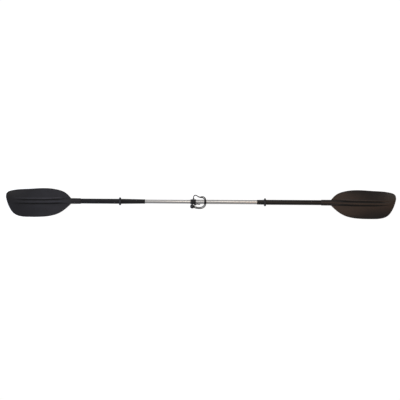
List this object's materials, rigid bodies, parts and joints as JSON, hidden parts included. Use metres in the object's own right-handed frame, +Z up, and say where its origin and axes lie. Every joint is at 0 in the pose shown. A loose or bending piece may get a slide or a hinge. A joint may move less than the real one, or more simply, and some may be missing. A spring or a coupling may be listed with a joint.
{
  "type": "kayak paddle",
  "caption": "Double-bladed kayak paddle with aluminium shaft, telescoping clamp joint, grip sleeves, drip rings and a ball bungee.",
  "frame": {"origin": "on the floor under the paddle's middle: the lowest point's height, halfway between the blade tips and halfway across the blades", "axes": "+X along the shaft towards the right half, +Y across the blades towards their longer edges, +Z up, out of the power faces"},
  "size_m": [2.3, 0.1708, 0.0459],
  "materials": {
    "blade_plastic": "satin moulded black plastic with fine scuffs",
    "bare_aluminium": "satin drawn tube",
    "sleeve_plastic": "smooth black sleeve, slightly glossy",
    "ring_rubber": "dull dark grey moulded rubber",
    "clamp_plastic": "textured black glass-filled nylon",
    "clamp_steel": "turned stainless steel",
    "plug_foam": "closed-cell foam",
    "bungee_cord": "braided black shock cord",
    "ball_plastic": "moulded black ball"
  },
  "bodies": {
    "left_half": {"left_blade": "blade_plastic", "left_blade_rivet": "clamp_steel", "left_shaft_tube": "bare_aluminium", "left_foam_plug": "plug_foam", "left_tube_end_plug": "clamp_plastic", "left_grip_sleeve": "sleeve_plastic"},
    "index_ring": {"feather_index_ring": "clamp_plastic"},
    "right_half": {"right_blade": "blade_plastic", "right_blade_rivet": "clamp_steel", "right_shaft_tube": "bare_aluminium", "right_foam_plug": "plug_foam", "right_grip_sleeve": "sleeve_plastic", "clamp_collar": "clamp_plastic", "clamp_bushing": "clamp_plastic", "cam_washer": "clamp_steel", "lever_pin": "clamp_steel", "clamp_bolt": "clamp_steel", "lanyard_eye": "clamp_plastic", "bungee_leg_a": "bungee_cord", "bungee_leg_b": "bungee_cord", "bungee_ball": "ball_plastic"},
    "clamp_lever": {"clamp_lever": "clamp_plastic"},
    "clamp_nut": {"clamp_nut": "clamp_steel"},
    "left_drip_ring": {"left_drip_ring": "ring_rubber"},
    "right_drip_ring": {"right_drip_ring": "ring_rubber"}
  },
  "joints": [
    {"name": "length_slide", "type": "slide", "parent": "left_half", "child": "index_ring", "axis": [1, 0, 0], "range_m": [-0.1, 0.1]},
    {"name": "feather_turn", "type": "hinge", "parent": "index_ring", "child": "right_half", "pos_m": [-0.055, 0.01016, 0.02294], "axis": [1, 0, 0], "range_deg": [-90, 90]},
    {"name": "lever_swing", "type": "hinge", "parent": "right_half", "child": "clamp_lever", "pos_m": [-0.036, -0.00784, 0.03364], "axis": [0, -1, 0], "range_deg": [0, 150]},
    {"name": "nut_turn", "type": "hinge", "parent": "right_half", "child": "clamp_nut", "pos_m": [-0.036, -0.00784, 0.01514], "axis": [0, 0, 1], "continuous": true},
    {"name": "left_ring_slide", "type": "slide", "parent": "left_half", "child": "left_drip_ring", "axis": [1, 0, 0], "range_m": [-0.22, 0.14]},
    {"name": "right_ring_slide", "type": "slide", "parent": "right_half", "child": "right_drip_ring", "axis": [1, 0, 0], "range_m": [-0.04, 0.32]}
  ]
}
